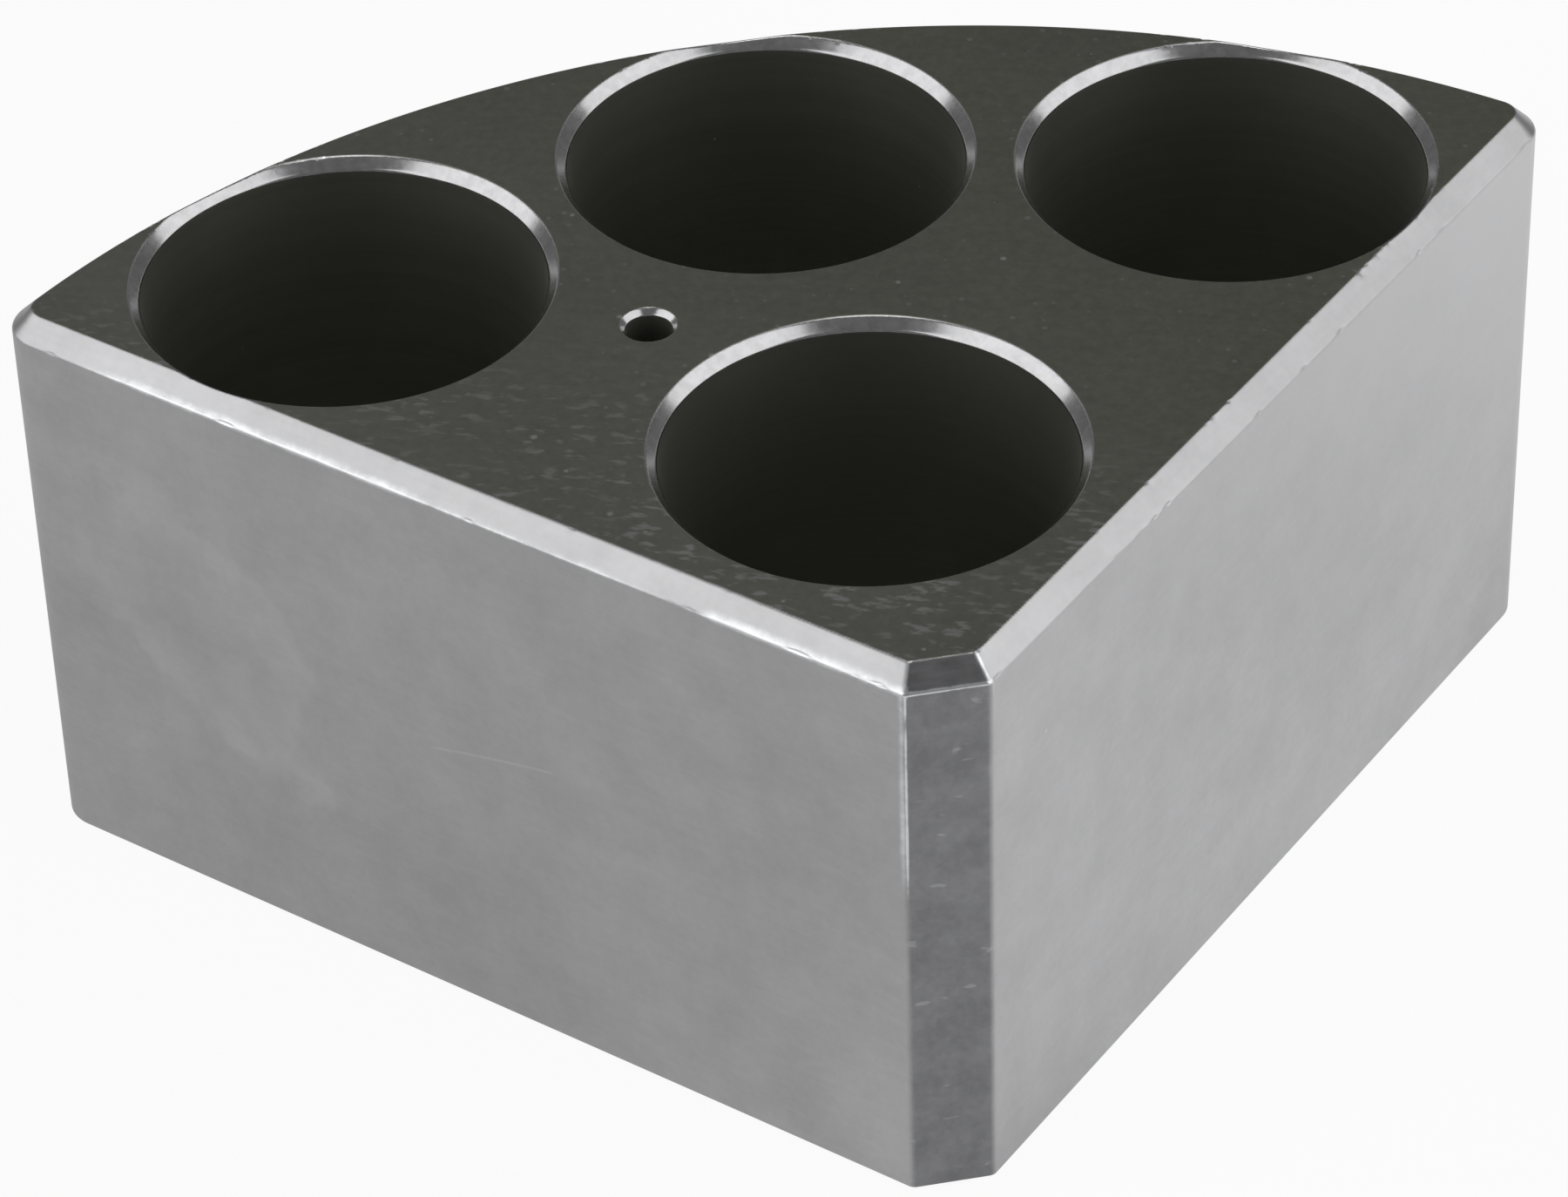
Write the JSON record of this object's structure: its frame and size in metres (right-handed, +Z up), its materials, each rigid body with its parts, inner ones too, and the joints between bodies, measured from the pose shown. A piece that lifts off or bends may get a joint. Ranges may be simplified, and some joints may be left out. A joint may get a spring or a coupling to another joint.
{
  "type": "quarter-round vial heating block",
  "caption": "Quarter-round machined aluminium heating block with flat-bottomed vial wells and a thin thermometer hole, chamfered all round the top, for a laboratory hotplate.",
  "frame": {"origin": "centre of the bounding box in plan, at the height of the underside", "axes": "+Z up out of the wells, +Y from the nose towards the round side along the centre line, +X across to the right when looking along +Y"},
  "size_m": [0.1078, 0.0752, 0.0445],
  "materials": {
    "anodised_aluminium": "dark anodised over a machined finish"
  },
  "bodies": {
    "root": {"vial_block": "anodised_aluminium"}
  },
  "joints": []
}
